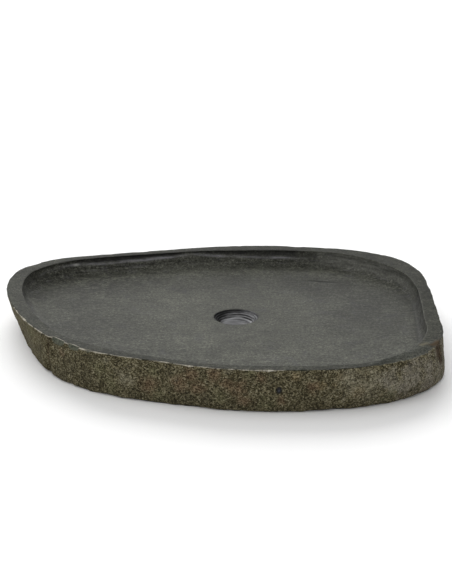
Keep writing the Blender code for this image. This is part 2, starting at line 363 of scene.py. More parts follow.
def roughen(th, deg, g, tags, extra):
    """Shapes the natural skin, the ground faces and the pits; returns the surface and its masks."""
    zone = np.array([t["zone"] for t in tags])
    m, n = len(zone), len(th)
    names = ("rind", "edge", "chipped", "wall", "seat", "bore", "crack", "under", "brown", "yellow", "groove_shade", "pit",
             "slope", "rim", "lip", "coarse", "ridge_highlight", "rust", "tan", "pale", "moss", "ash", "dark",
             "sleek", "worn", "sun", "flash", "shade", "back_shade", "soft", "corner_shade")
    mask = {k: np.zeros((m, n)) for k in names}
    normal = grid_normals(g)
    if normal[zone == "under"][3, :, 2].mean() > 0:
        normal = -normal
    move = np.zeros((m, n))
    side = np.isin(zone, ("foot", "side"))
    p = g[side]
    hold = np.array([1 - 0.75 * smooth(t.get("f", 0.0), 0.86, 1.0) if t["zone"] == "side" else 0.8
                     for t in tags if t["zone"] in ("foot", "side")])[:, None]
    broad = 1.5 * fbm(p, 120, 2, 41) + 0.75 * fbm(p, 34, 2, 42)
    d1, d2, own = cells(p * (1, 1, 1.25), 30, 43)
    flakes = (own - 0.5) * 1.5 * smooth(d2 - d1, 0.0, 0.22)
    grain = 0.42 * fbm(p, 8.5, 3, 44, 0.65)
    e1, e2, eown = cells(p, 7.5, 45)
    pits = -0.75 * smooth(0.42 - e1, 0, 0.30) * (eown > 0.72)
    move[side] = hold * (broad + flakes + grain - 0.6) + hold * pits
    mask["rind"][side] = 1
    mask["pit"][side] = smooth(0.40 - e1, 0, 0.2) * (eown > 0.72)
    # ragged bottom edge
    for j in np.nonzero(zone == "foot")[0]:
        bite = np.clip(fbm(g[j] * (1, 1, 0), 26, 3, 46) - 0.25, 0, None)
        move[j] -= 3.0 * bite
    # the pocket that the nodule sits in
    along = g - NODULE
    depth = along @ NODULE_OUT
    flat = along - depth[..., None] * NODULE_OUT
    wide, tall = flat[..., 0] / 4.9, flat[..., 2] / 5.9
    near = np.sqrt(wide ** 2 + tall ** 2)
    in_front = (np.abs(depth) < 12) & side[:, None]
    keep = np.where(in_front, smooth(near, 1.15, 2.6), 1.0)
    move = move * keep
    mask["pit"] = np.where(in_front, np.maximum(mask["pit"] * smooth(near, 0.9, 1.6), 1 - smooth(near, 0.75, 1.15)), mask["pit"])
    out = g + normal * move[..., None]
    aim = -0.30 - 1.9 * (1 - smooth(near, 0.72, 0.98))
    now = (out - NODULE) @ NODULE_OUT
    shift = (aim - now) * (1 - keep) * (np.abs(depth) < 12) * side[:, None]
    out = out + NODULE_OUT * shift[..., None]

    # painted shade on the ground faces: darker towards the back, the right and the foot of the wall
    toe_row = int(np.nonzero(zone == "wall")[0][-1])
    back = smooth(turn_gap(deg, 52), 0, 14) * (1 - smooth(turn_gap(deg, 140), 0, 30))
    band = np.interp(deg, (0, 30, 60, 110, 140, 170, 205, 230, 320, 345, 360), (0.6, 0.75, 1, 1, 0.75, 0.45, 0.2, 0, 0, 0.4, 0.6))
    lip_row = int(np.nonzero(zone == "lip")[0][-1])
    left_lip = np.interp(deg, (150, 165, 182, 190, 207, 213), (0.0, 0.20, 0.30, 1.0, 1.0, 0.0))
    far_left = smooth(turn_gap(deg, 112), 0, 22) * (turn_gap(deg, 112) > 0)
    # painted light on the upper wall at the right back
    soft = smooth(turn_gap(deg, 10), 0, 16) * (1 - smooth(turn_gap(deg, 50), 0, 10))
    # painted shade on the wall and the floor's edge from the near right corner round to the right
    corner_shade = smooth(turn_gap(deg, 326), 0, 8) * (1 - smooth(turn_gap(deg, 4), 0, 12)) * (np.abs(turn_gap(deg, 350)) < 60)

    def shade(at, d):
        x, y = at[:, 0], at[:, 1]
        return (0.04 + 0.10 * smooth(y, -190, 10) + 0.22 * band * smooth(d, 8, 40) * (1 - smooth(d, 66, 140))
                + 0.13 * smooth(x, 60, 230) + 0.06 * smooth(-x, 60, 230))

    # ground faces keep to their plane within a few tenths
    for j in range(m):
        z = zone[j]
        if z == "rim":
            t = tags[j]["t"]
            inner = smooth(t, 0, 0.3)
            wave = 0.18 * fbm(g[j], 70, 2, 51) * smooth(t, 0, 0.2) * (1 - smooth(t, 0.85, 1))
            out[j, :, 2] += np.minimum(wave, 0.0)
            # the edge mask places the painted highlight along the top outer arris
            mask["edge"][j] = 0.35 + 0.65 * extra["chip"] if t == 0 else 0.0
            mask["chipped"][j] = 0.3 * extra["chip"] * (1 if t == 0 else 0)
            # painted shade on the inner part of the rim at the back
            mask["back_shade"][j] = smooth(t, 0.30, 1.0) * back
            mask["slope"][j] = smooth(extra["slope"], 0.0, 0.35) * (1 - 0.85 * smooth(t, 0.3, 1.0))
            mask["rim"][j] = 1
        elif z == "arris":
            first = zone[j - 1] == "side"
            mask["rind"][j] = (0.42 if first else 0.10) * (1 - extra["slope"])
            mask["edge"][j] = (1.0 if first else 0.8) * (1 - smooth(extra["slope"], 0.0, 0.3)) * (1 - (0.95 if first else 0.85) * extra["chip"])
            mask["chipped"][j] = extra["chip"]
            mask["slope"][j] = smooth(extra["slope"], 0.0, 0.35)
            mask["rim"][j] = 1
        elif z == "side" and tags[j]["f"] == 1:
            mask["rind"][j] = 0.85 - 0.30 * extra["slope"]
            mask["edge"][j] = 0.35 * (1 - extra["slope"]) * (1 - extra["chip"])
            mask["chipped"][j] = extra["chip"]
            mask["slope"][j] = 0.5 * extra["slope"]
        elif z == "lip":
            mask["lip"][j] = 1
            # painted shade on the lip at the back
            mask["back_shade"][j] = back
        elif z == "wall":
            mask["wall"][j] = 1 - smooth(tags[j]["phi"], 0.60, 1.0)
            d, lev = tags[j]["drop"], tags[j]["level"]
            # painted shadow under the lip at the back and in a band along the left lip
            mask["groove_shade"][j] = extra["under"] * smooth(d, 0.6, 2.4) * (1 - smooth(d - lev, -2.4, -0.6)) * (1 - 0.4 * far_left)
            d_in = np.linalg.norm((g[j] - g[lip_row])[:, :2], axis=-1)
            mask["groove_shade"][j] = np.maximum(mask["groove_shade"][j], left_lip * (1 - smooth(d_in, 7.5, 13.0)))
            # painted highlight along the ledge on the back wall
            mask["ridge_highlight"][j] = extra["under"] * bump(d - lev, 0.2, 1.2)
            # painted shade carried from the floor up the foot of the wall
            mask["shade"][j] = shade(g[toe_row], 0.0) * smooth(tags[j]["phi"], 0.5, 1.0)
            mask["soft"][j] = soft * smooth(d, 0.0, 1.5) * (1 - smooth(tags[j]["phi"], 0.34, 0.80))
            mask["corner_shade"][j] = corner_shade * smooth(d, 1.0, 3.0)
        elif z == "floor":
            t = tags[j]["t"]
            wave = 0.35 * fbm(g[j], 95, 2, 52) + 0.12 * fbm(g[j], 22, 2, 53)
            out[j, :, 2] += wave * smooth(t, 0, 0.08) * (1 - smooth(t, 0.9, 0.99))
            out[j, :, 2] -= 0.8 * tags[j]["crack"] ** 2
            mask["crack"][j] = tags[j]["crack"]
            mask["shade"][j] = shade(g[j], np.linalg.norm((g[j] - g[toe_row])[:, :2], axis=-1))
            mask["soft"][j] = 0.0
            mask["corner_shade"][j] = corner_shade * (1 - smooth(t, 0.0, 0.02))
        elif z == "mouth":
            mask["seat"][j] = 0.6
        elif z == "seat":
            mask["seat"][j] = 1
            saw = tags[j]["saw"]
            # painted shadow in the seat's ring steps
            mask["groove_shade"][j] = 0.55 * (1.0 if 0.5 < saw < 0.6 else 0.0)
            # painted highlight on the edges of the seat's ring steps
            mask["ridge_highlight"][j] = 0.8 if saw > 0.9 or saw < 0.1 else 0.0
        elif z == "bore":
            mask["bore"][j] = 1
            mask["seat"][j] = 1
        elif z == "under":
            t = tags[j]["t"]
            mask["under"][j] = 1
            out[j, :, 2] = np.clip(0.25 * (fbm(g[j], 40, 3, 54) - 0.55), 0, None) * smooth(t, 0.1, 0.3) * (1 - smooth(t, 0.85, 1))
    spots = np.zeros((m, n))
    for cx, cy, sx, sy in ((-200, 128, 62, 52), (-150, 165, 70, 26), (-240, 150, 40, 30)):
        spots = np.maximum(spots, np.exp(-((g[..., 0] - cx) / sx) ** 2 - ((g[..., 1] - cy) / sy) ** 2))
    mask["coarse"] = spots * (np.isin(zone, ("floor", "wall")))[:, None]
    mask["sleek"] = (side * 1.0)[:, None] * (smooth(turn_gap(deg, 168), 0, 14) * (1 - smooth(turn_gap(deg, 198), 0, 20)))[None, :]
    # where the painted highlight on the top outer arris shows: strongest along the front, weaker at the back
    worn = 0.10 + (0.62 + 0.28 * smooth(turn_gap(deg, 209), 0, 4)) * smooth(turn_gap(deg, 183), 0, 4) * (1 - smooth(turn_gap(deg, 240), 0, 9)) * (turn_gap(deg, 183) > 0)
    worn = np.maximum(worn, 0.72 * smooth(turn_gap(deg, 246), 0, 6) * (1 - smooth(turn_gap(deg, 287), 0, 5)) * (turn_gap(deg, 246) > 0))
    worn = np.maximum(worn, 0.45 * smooth(turn_gap(deg, 90), 0, 8) * (1 - smooth(turn_gap(deg, 130), 0, 8)))
    mask["worn"][:] = worn[None, :]
    hole_zone = np.isin(zone, ("mouth", "seat", "bore"))[:, None]
    down_hole = np.array([t.get("f", 0.0) if t["zone"] == "seat" else 0.9 if t["zone"] == "bore" else 0.0 for t in tags])[:, None]
    # painted light and shade in the waste hole: lighter towards the back right and further down, near black towards
    # the front left
    mask["sun"] = hole_zone * smooth(np.cos(th - math.radians(44))[None, :] + 1.25 * (down_hole - 0.55), -0.30, 0.95)
    # painted highlight: a small pale spot on the wall under the back-left lip
    mask["flash"] = np.exp(-((g[..., 0] + 228) / 4.2) ** 2 - ((g[..., 1] - 188) / 5.0) ** 2 - ((g[..., 2] - 54.5) / 1.1) ** 2) * np.isin(zone, ("wall",))[:, None]
    # stains
    side_or_top = np.isin(zone, ("side", "foot", "arris", "rim", "lip"))
    xy = g[..., :2]

    def by_line(p0, p1, width):
        p0, p1 = np.array(p0, float), np.array(p1, float)
        d = p1 - p0
        t = np.clip(((xy - p0) @ d) / (d @ d), 0, 1)
        return np.exp(-(np.linalg.norm(xy - (p0 + t[..., None] * d), axis=-1) / width) ** 2)

    # painted shadow: a dark line along the left lip, from the middle of the left side towards the front
    left_shadow_line = ((-281.0, -0.5), (-271.5, -26.4), (-261.1, -51.7), (-248.6, -76.4), (-237.4, -100.5), (-228.5, -120.2))
    for p0, p1 in zip(left_shadow_line[:-1], left_shadow_line[1:]):
        dark_line = 0.62 * by_line(p0, p1, 3.4) * np.isin(zone, ("rim", "lip", "wall"))[:, None]
        mask["groove_shade"] = np.maximum(mask["groove_shade"], dark_line)
    mask["yellow"] = by_line((274, -180), (283, -173), 3.0) * np.isin(zone, ("rim", "arris", "lip"))[:, None]
    gap = turn_gap(deg, 331.0)[None, :]
    zed = g[..., 2]
    streak = np.exp(-((gap + 0.3 + 0.05 * (zed - 50)) / 1.5) ** 2) * smooth(zed, 20, 36) + 0.9 * np.exp(-((gap + 2.0) / 0.9) ** 2) * smooth(zed, 36, 50)
    near_edge = np.where(np.isin(zone, ("rim",))[:, None], 1 - smooth(np.abs(np.linalg.norm(xy, axis=-1) - 343), 3, 7), 1.0)
    mask["brown"] = np.clip(1.25 * streak, 0, 1) * side_or_top[:, None] * near_edge
    # dark crease in the skin below the notch
    crease = np.exp(-((turn_gap(deg, 211.6)[None, :] - 0.035 * (zed - 40)) / 0.62) ** 2)
    mask["brown"] = np.maximum(mask["brown"], 0.80 * crease * np.isin(zone, ("side", "foot"))[:, None] * (1 - 0.5 * smooth(zed, 50, 60)))
    for kind, places in PATCHES.items():
        amount = np.zeros((m, n))
        for x, y, z, reach in places:
            near2 = ((g - (x, y, z)) ** 2).sum(-1) / reach ** 2
            amount = np.maximum(amount, np.exp(-near2 * 0.7))
        if kind == "ash":
            amount = np.maximum(amount, 0.62 * smooth(g[..., 0], 205, 290) * (g[..., 1] < 30))
        mask[kind] = amount * np.isin(zone, ("side", "foot", "arris"))[:, None]
    # painted shade on the rim: it is darker along the front and the right than at the left
    rim_shade = np.interp(deg, (0, 45, 90, 135, 170, 200, 260, 300, 330, 360), (1.0, 1.0, 0.98, 0.92, 0.77, 0.73, 0.77, 0.84, 0.95, 1.0))
    mask["rim"] = mask["rim"] * rim_shade[None, :]
    # the skin never reaches past the stone's overall length, width and height
    for axis, limit in ((0, 320.44), (1, 270.02)):
        v = out[..., axis]
        over = np.abs(v) - (limit - 1.2)
        soft = np.sign(v) * (limit - 1.2 + 1.1 * (1 - np.exp(-np.clip(over, 0, None) / 1.1)))
        out[..., axis] = np.where(over > 0, soft, v)
    out[..., 2] = np.clip(out[..., 2], 0.0, THICKNESS)
    return out, mask, zone


def unwrap(th, g, zone, mask):
    """One map: the top seen from above with its walls opened out, the side in three strips, the underside small."""
    m, n = len(zone), len(th)
    s = 1 / 800.0
    cos, sin = np.cos(th), np.sin(th)
    virtual = g[..., :2].copy()
    wall = [j for j in range(m) if zone[j] in ("lip", "wall")]
    base = g[wall[0], :, :2] + MIDDLE
    r0 = np.linalg.norm(base, axis=-1)
    toe_r = r0 - 38
    for k, j in enumerate(wall):
        r = r0 - 38 * k / (len(wall) - 1)
        virtual[j] = np.stack([r * cos, r * sin], -1) - MIDDLE
    toe = virtual[wall[-1]]
    floor = [j for j in range(m) if zone[j] == "floor"]
    true_toe, true_seat = g[wall[-1], :, :2], g[[j for j in range(m) if zone[j] == "mouth"][0], :, :2]
    for j in floor:
        q = g[j, :, :2]
        d = true_seat - true_toe
        t = np.clip(((q - true_toe) * d).sum(-1) / (d * d).sum(-1), 0, 1)[:, None]
        virtual[j] = toe * (1 - t) + true_seat * t
    hole = [j for j in range(m) if zone[j] in ("seat", "bore")]
    for k, j in enumerate(hole):
        r = SEAT_R - (SEAT_R - 4) * (k + 1) / len(hole)
        virtual[j] = np.stack([DRAIN[0] + r * cos, DRAIN[1] + r * sin], -1)
    top_uv = (virtual + (325, 275)) * s + (0.006, 0.31)
    uv = np.zeros((m, n, 4, 2))
    nxt = np.roll(np.arange(n), -1)
    perimeter = np.concatenate([[0], np.cumsum(np.linalg.norm(
        np.diff(np.concatenate([g[20], g[20][:1]]), axis=0), axis=-1))])
    third = perimeter[-1] / 3
    for j in range(m):
        k = (j + 1) % m
        a, b = zone[j], zone[k]
        sideish = ("foot", "side")
        if a in sideish or (b in sideish):
            # unrolled side, each third in its own strip
            def strip(row, col_len, col0):
                u = (col_len - third * strip_no) * s + 0.006
                return u, None
            strip_no = np.minimum((perimeter[:-1] + 0.5 * np.diff(perimeter)) // third, 2)
            u0 = (perimeter[:-1] - third * strip_no) * s + 0.006
            u1 = (perimeter[1:] - third * strip_no) * s + 0.006
            v_base = 0.006 + strip_no * 0.1
            hj = g[j, :, 2] if a in sideish else np.zeros(n) - 6.0
            hk = g[k, :, 2]
            uv[j, :, 0] = np.stack([u0, v_base + (hj + 8) * s], -1)
            uv[j, :, 1] = np.stack([u1, v_base + (hj[nxt] + 8) * s], -1)
            uv[j, :, 2] = np.stack([u1, v_base + (hk[nxt] + 8) * s], -1)
            uv[j, :, 3] = np.stack([u0, v_base + (hk + 8) * s], -1)
        elif a == "under" and b == "under":
            q = (g[..., :2] * (1, -1) + (325, 275)) * s * 0.20 + (0.835, 0.10)
            uv[j, :, 0], uv[j, :, 1], uv[j, :, 2], uv[j, :, 3] = q[j], q[j][nxt], q[k][nxt], q[k]
        elif b == "under":
            q = (g[..., :2] * (1, -1) + (325, 275)) * s * 0.20 + (0.835, 0.10)
            inner = (q[k] - q[k].mean(0)) * 0.8 + q[k].mean(0)
            uv[j, :, 0], uv[j, :, 1], uv[j, :, 2], uv[j, :, 3] = inner, inner[nxt], q[k][nxt], q[k]
        else:
            q = top_uv
            uv[j, :, 0], uv[j, :, 1], uv[j, :, 2], uv[j, :, 3] = q[j], q[j][nxt], q[k][nxt], q[k]
    return uv


def make_stone():
    th, deg, g, tags, extra = build_grid()
    out, mask, zone = roughen(th, deg, g, tags, extra)
    uv = unwrap(th, g, zone, mask)
    m, n = out.shape[:2]
    idx = np.arange(m * n).reshape(m, n)
    nxt = np.roll(idx, -1, 1)
    up, upn = np.roll(idx, -1, 0), np.roll(nxt, -1, 0)
    faces = np.stack([idx, nxt, upn, up], -1).reshape(-1, 4)
    verts = out.reshape(-1, 3) / 1000.0
    # face order that points outwards
    a, b, c, d = (verts[faces[:, k]] for k in range(4))
    volume = (np.einsum("ij,ij->i", a, np.cross(b, c)).sum() + np.einsum("ij,ij->i", a, np.cross(c, d)).sum()) / 6
    loops_uv = uv.reshape(-1, 4, 2)
    if volume < 0:
        faces = faces[:, ::-1]
        loops_uv = loops_uv[:, ::-1]
    mesh = bpy.data.meshes.new("stone_basin")
    mesh.vertices.add(len(verts))
    mesh.vertices.foreach_set("co", verts.astype(np.float32).ravel())
    mesh.loops.add(faces.size)
    mesh.loops.foreach_set("vertex_index", faces.astype(np.int32).ravel())
    mesh.polygons.add(len(faces))
    mesh.polygons.foreach_set("loop_start", np.arange(0, faces.size, 4, dtype=np.int32))
    layer = mesh.uv_layers.new(name="OFBake")
    mesh.update(calc_edges=True)
    mesh.validate()
    layer = mesh.uv_layers["OFBake"]
    layer.data.foreach_set("uv", loops_uv.astype(np.float32).ravel())
    for name, values in mask.items():
        att = mesh.attributes.new("m_" + name, "FLOAT", "POINT")
        att.data.foreach_set("value", np.clip(values, 0, 1).astype(np.float32).ravel())
    mesh.shade_smooth()
    mesh.set_sharp_from_angle(angle=math.radians(38))
    obj = bpy.data.objects.new("stone_basin", mesh)
    bpy.context.scene.collection.objects.link(obj)
    print("stone:", len(verts), "vertices", len(faces), "quads", "volume l", abs(volume) * 1000)
    return obj


def make_nodule():
    """Dark oval knot of harder rock, slightly domed and pitted, sitting in its pocket."""
    side = np.cross((0.0, 0.0, 1.0), NODULE_OUT)
    side /= np.linalg.norm(side)
    up = np.cross(NODULE_OUT, side)
    rings, count = [], 40
    a = np.arange(count) * 2 * math.pi / count
    profile = [(0.25, -8.6), (0.55, -8.3), (0.82, -7.6), (0.96, -6.2), (1.0, -4.4), (1.0, -2.6), (0.985, -1.35),
               (0.93, -0.75), (0.84, -0.42), (0.70, -0.22), (0.52, -0.16), (0.34, -0.28), (0.17, -0.42)]
    pts = []
    for share, h in profile:
        ring = (NODULE + side * (3.62 * share * np.cos(a))[:, None] + up * (4.60 * share * np.sin(a))[:, None]
                + NODULE_OUT * h)
        pts.append(ring)
    pts = np.array(pts)
    centre = NODULE - NODULE_OUT * 4
    away = pts - centre
    away /= np.linalg.norm(away, axis=-1, keepdims=True)
    pts = pts + away * (0.16 * fbm(pts, 3.2, 3, 61) - 0.05)[..., None]
    verts = [tuple(v) for v in pts.reshape(-1, 3) / 1000.0]
    faces = []
    for j in range(len(profile) - 1):
        for k in range(count):
            q = (k + 1) % count
            faces.append((j * count + k, j * count + q, (j + 1) * count + q, (j + 1) * count + k))
    tail, tip = len(verts), len(verts) + 1
    verts.append(tuple((NODULE - NODULE_OUT * 8.7) / 1000.0))
    verts.append(tuple((NODULE - NODULE_OUT * 0.5) / 1000.0))
    last = (len(profile) - 1) * count
    for k in range(count):
        q = (k + 1) % count
        faces.append((q, k, tail))
        faces.append((last + k, last + q, tip))
    mesh = bpy.data.meshes.new("dark_nodule")
    mesh.from_pydata(verts, [], faces)
    mesh.update()
    core = np.linalg.norm((np.array(verts) * 1000 - NODULE) - ((np.array(verts) * 1000 - NODULE) @ NODULE_OUT)[:, None] * NODULE_OUT, axis=1)
    att = mesh.attributes.new("m_core", "FLOAT", "POINT")
    att.data.foreach_set("value", np.clip(1 - core / 1.7, 0, 1).astype(np.float32))
    mesh.shade_smooth()
    obj = bpy.data.objects.new("dark_nodule", mesh)
    bpy.context.scene.collection.objects.link(obj)
    return obj


# ------------------------------------------------------------------ materials
class Nodes:
    """Short names for building a node tree."""

    def __init__(self, name):
        self.mat = bpy.data.materials.new(name)
        self.mat.use_nodes = True
        self.tree = self.mat.node_tree
        self.tree.nodes.clear()
        self.out = self.tree.nodes.new("ShaderNodeOutputMaterial")
        self.bsdf = self.tree.nodes.new("ShaderNodeBsdfPrincipled")
        self.tree.links.new(self.bsdf.outputs[0], self.out.inputs[0])
        self.coord = self.tree.nodes.new("ShaderNodeTexCoord").outputs["Object"]

    def link(self, a, b):
        self.tree.links.new(a, b)

    def _set(self, socket, value):
        if hasattr(value, "is_output"):
            self.link(value, socket)
        else:
            socket.default_value = value

    def attr(self, name):
        node = self.tree.nodes.new("ShaderNodeAttribute")
        node.attribute_name = name
        return node.outputs["Fac"]

    def math(self, op, a, b=None, clamp=False):
        node = self.tree.nodes.new("ShaderNodeMath")
        node.operation = op
        node.use_clamp = clamp
        self._set(node.inputs[0], a)
        if b is not None:
            self._set(node.inputs[1], b)
        return node.outputs[0]

    def ramp(self, fac, stops, mode="LINEAR"):
        node = self.tree.nodes.new("ShaderNodeValToRGB")
        node.color_ramp.interpolation = mode
        el = node.color_ramp.elements
        while len(el) < len(stops):
            el.new(0.5)
        for e, (pos, col) in zip(el, stops):
            e.position = pos
            e.color = (*col, 1.0) if len(col) == 3 else col
        self.link(fac, node.inputs[0])
        return node.outputs[0]

    def range(self, value, a, b, c=0.0, d=1.0, clamp=True):
        node = self.tree.nodes.new("ShaderNodeMapRange")
        node.clamp = clamp
        self._set(node.inputs["Value"], value)
        for name, v in (("From Min", a), ("From Max", b), ("To Min", c), ("To Max", d)):
            node.inputs[name].default_value = v
        return node.outputs["Result"]

    def noise(self, mm, detail=2.0, rough=0.5, offset=(0, 0, 0), stretch=(1, 1, 1), distort=0.0):
        mapping = self.tree.nodes.new("ShaderNodeMapping")
        mapping.inputs["Location"].default_value = offset
        mapping.inputs["Scale"].default_value = stretch
        self.link(self.coord, mapping.inputs["Vector"])
        node = self.tree.nodes.new("ShaderNodeTexNoise")
        node.inputs["Scale"].default_value = 1000.0 / mm
        node.inputs["Detail"].default_value = detail
        node.inputs["Roughness"].default_value = rough
        node.inputs["Distortion"].default_value = distort
        self.link(mapping.outputs[0], node.inputs["Vector"])
        return node.outputs["Fac"]

    def voronoi(self, mm, feature="F1", output="Distance", randomness=1.0, stretch=(1, 1, 1), offset=(0, 0, 0)):
        mapping = self.tree.nodes.new("ShaderNodeMapping")
        mapping.inputs["Scale"].default_value = stretch
        mapping.inputs["Location"].default_value = offset
        self.link(self.coord, mapping.inputs["Vector"])
        node = self.tree.nodes.new("ShaderNodeTexVoronoi")
        node.feature = feature
        node.inputs["Scale"].default_value = 1000.0 / mm
        node.inputs["Randomness"].default_value = randomness
        self.link(mapping.outputs[0], node.inputs["Vector"])
        return node.outputs[output]

    def mix(self, fac, a, b, mode="MIX"):
        node = self.tree.nodes.new("ShaderNodeMix")
        node.data_type = "RGBA"
        node.blend_type = mode
        node.clamp_factor = True
        self._set(node.inputs[0], fac)
        for socket, v in ((node.inputs[6], a), (node.inputs[7], b)):
            if hasattr(v, "is_output"):
                self.link(v, socket)
            else:
                socket.default_value = (*v, 1.0) if len(v) == 3 else v
        return node.outputs[2]

    def mixf(self, fac, a, b):
        node = self.tree.nodes.new("ShaderNodeMix")
        node.data_type = "FLOAT"
        self._set(node.inputs[0], fac)
        self._set(node.inputs[2], a)
        self._set(node.inputs[3], b)
        return node.outputs[0]

    def bump(self, height, strength, mm, normal=None):
        node = self.tree.nodes.new("ShaderNodeBump")
        node.inputs["Strength"].default_value = strength
        node.inputs["Distance"].default_value = mm / 1000.0
        self.link(height, node.inputs["Height"])
        if normal is not None:
            self.link(normal, node.inputs["Normal"])
        return node.outputs[0]


def stone_material():
    k = Nodes("river_stone")
    rind, edge, chipped = k.attr("m_rind"), k.attr("m_edge"), k.attr("m_chipped")
    wall, seat, bore = k.attr("m_wall"), k.attr("m_seat"), k.attr("m_bore")
    crack, groove_shade, ridge_highlight, pit = k.attr("m_crack"), k.attr("m_groove_shade"), k.attr("m_ridge_highlight"), k.attr("m_pit")
    brown, yellow, under = k.attr("m_brown"), k.attr("m_yellow"), k.attr("m_under")
    slope, rim, lip, coarse = k.attr("m_slope"), k.attr("m_rim"), k.attr("m_lip"), k.attr("m_coarse")

    # ground faces: grey-green, finely speckled, with soft mottles
    fine = k.noise(1.8, 2.0, 0.8)
    mid = k.noise(3.8, 2.0, 0.7, offset=(3, 1, 7))
    brushed = k.noise(4.2, 2.0, 0.7, offset=(5, 8, 1), stretch=(0.18, 1.3, 1.0))
    soft = k.noise(26.0, 3.0, 0.6, offset=(9, 4, 2))
    wide = k.noise(120.0, 2.0, 0.5, offset=(2, 6, 1))
    tone = k.math("ADD", k.math("ADD", k.math("MULTIPLY", fine, 0.44), k.math("MULTIPLY", mid, 0.38)), k.math("MULTIPLY", brushed, 0.18))
    tone = k.math("ADD", tone, k.math("MULTIPLY", k.math("SUBTRACT", soft, 0.5), 0.15))
    tone = k.math("ADD", tone, k.math("MULTIPLY", k.math("SUBTRACT", wide, 0.5), 0.14))
    honed = k.ramp(tone, [(0.390, (0.015, 0.0155, 0.0112)), (0.45, (0.0315, 0.0325, 0.0240)), (0.50, (0.048, 0.0492, 0.0373)),
                          (0.55, (0.070, 0.0715, 0.0555)), (0.62, (0.128, 0.130, 0.102))])
    violet = k.noise(24.0, 4.0, 0.65, offset=(5, 11, 3))
    honed = k.mix(k.range(violet, 0.56, 0.70, 0.0, 0.40), honed, k.mix(0.5, honed, (0.055, 0.052, 0.069)))
    fleck = k.voronoi(6.0, output="Distance")
    fleck_pick = k.voronoi(6.0, output="Color")
    pick = k.tree.nodes.new("ShaderNodeSeparateColor")
    k.link(fleck_pick, pick.inputs[0])
    light_fleck = k.math("MULTIPLY", k.range(fleck, 0.24, 0.12), k.range(pick.outputs[0], 0.90, 0.91))
    dark_fleck = k.math("MULTIPLY", k.range(fleck, 0.26, 0.12), k.range(pick.outputs[0], 0.12, 0.11))
    honed = k.mix(k.math("MULTIPLY", light_fleck, 0.60), honed, (0.150, 0.150, 0.130))
    honed = k.mix(k.math("MULTIPLY", dark_fleck, 0.60), honed, (0.018, 0.0185, 0.015))
    clots = k.voronoi(4.6, output="Color", offset=(3, 3, 3))
    clot_pick = k.tree.nodes.new("ShaderNodeSeparateColor")
    k.link(clots, clot_pick.inputs[0])
    clot = k.ramp(clot_pick.outputs[1], [(0.25, (0.55, 0.55, 0.55)), (0.50, (0.92, 0.92, 0.92)), (0.80, (1.30, 1.30, 1.27))])
    honed = k.mix(k.math("MULTIPLY", coarse, 0.90), honed, k.mix(1.0, honed, clot, "MULTIPLY"))
    # the rim darker than the floor: partly its own tone, partly painted shade that is heaviest at the right and the
    # back
    honed = k.mix(k.math("MULTIPLY", rim, 0.95), honed, k.mix(1.0, honed, (0.43, 0.43, 0.417), "MULTIPLY"))
    honed = k.mix(k.math("MULTIPLY", rim, 0.9), honed, k.ramp(fine, [(0.40, (0.74, 0.74, 0.73)), (0.60, (1.30, 1.30, 1.27))]), "MULTIPLY")
    # painted shade on the inner rim and the lip at the back
    honed = k.mix(k.math("MULTIPLY", k.attr("m_back_shade"), 0.90), honed, (0.50, 0.50, 0.51), "MULTIPLY")
    # painted shade over the floor: darker towards the back, the right and the foot of the wall
    honed = k.mix(1.0, honed, k.ramp(k.attr("m_shade"), [(0.0, (1.0, 1.0, 1.0)), (1.0, (0.0, 0.0, 0.0))]), "MULTIPLY")
    # painted light: the upper wall at the right back made lighter
    honed = k.mix(k.math("MULTIPLY", k.attr("m_soft"), 0.80), honed, k.mix(0.5, honed, (0.150, 0.152, 0.130)))
    # painted shade on the wall and the floor's edge at the near right corner
    honed = k.mix(k.attr("m_corner_shade"), honed, (0.62, 0.62, 0.63), "MULTIPLY")

    # bowl wall: streaked by the wheel, cooler; painted shadow under the lip, painted highlight on the ledge
    streak = k.noise(12.0, 3.0, 0.65, offset=(1, 2, 3), stretch=(0.35, 0.35, 3.2))
    cool = k.ramp(streak, [(0.34, (0.62, 0.615, 0.65)), (0.50, (0.92, 0.91, 0.96)), (0.66, (1.28, 1.26, 1.36))])
    honed = k.mix(k.math("MULTIPLY", wall, 0.95), honed, cool, "MULTIPLY")
    scored = k.noise(7.0, 3.0, 0.7, offset=(6, 2, 9), stretch=(0.12, 0.5, 3.2))
    honed = k.mix(k.math("MULTIPLY", wall, k.range(scored, 0.56, 0.68, 0.0, 0.40)), honed, (0.105, 0.103, 0.108))
    # painted shadow under the back lip and along the left lip
    honed = k.mix(k.math("MULTIPLY", groove_shade, 0.80), honed, (0.017, 0.017, 0.017))
    broken = k.noise(20.0, 5.0, 0.75, offset=(4, 9, 2), stretch=(0.8, 0.8, 4.0))
    # painted highlight, broken up, along the ledge on the back wall
    honed = k.mix(k.math("MULTIPLY", k.math("MULTIPLY", ridge_highlight, wall), k.range(broken, 0.40, 0.58, 0.28, 1.0)), honed, (0.165, 0.162, 0.172))
    # painted highlight along the inner lip
    honed = k.mix(k.math("MULTIPLY", lip, 0.40), honed, (0.088, 0.088, 0.076))
    # painted highlight: a small pale spot on the wall under the back-left lip
    honed = k.mix(k.math("MULTIPLY", k.attr("m_flash"), 1.0), honed, (0.34, 0.34, 0.31))
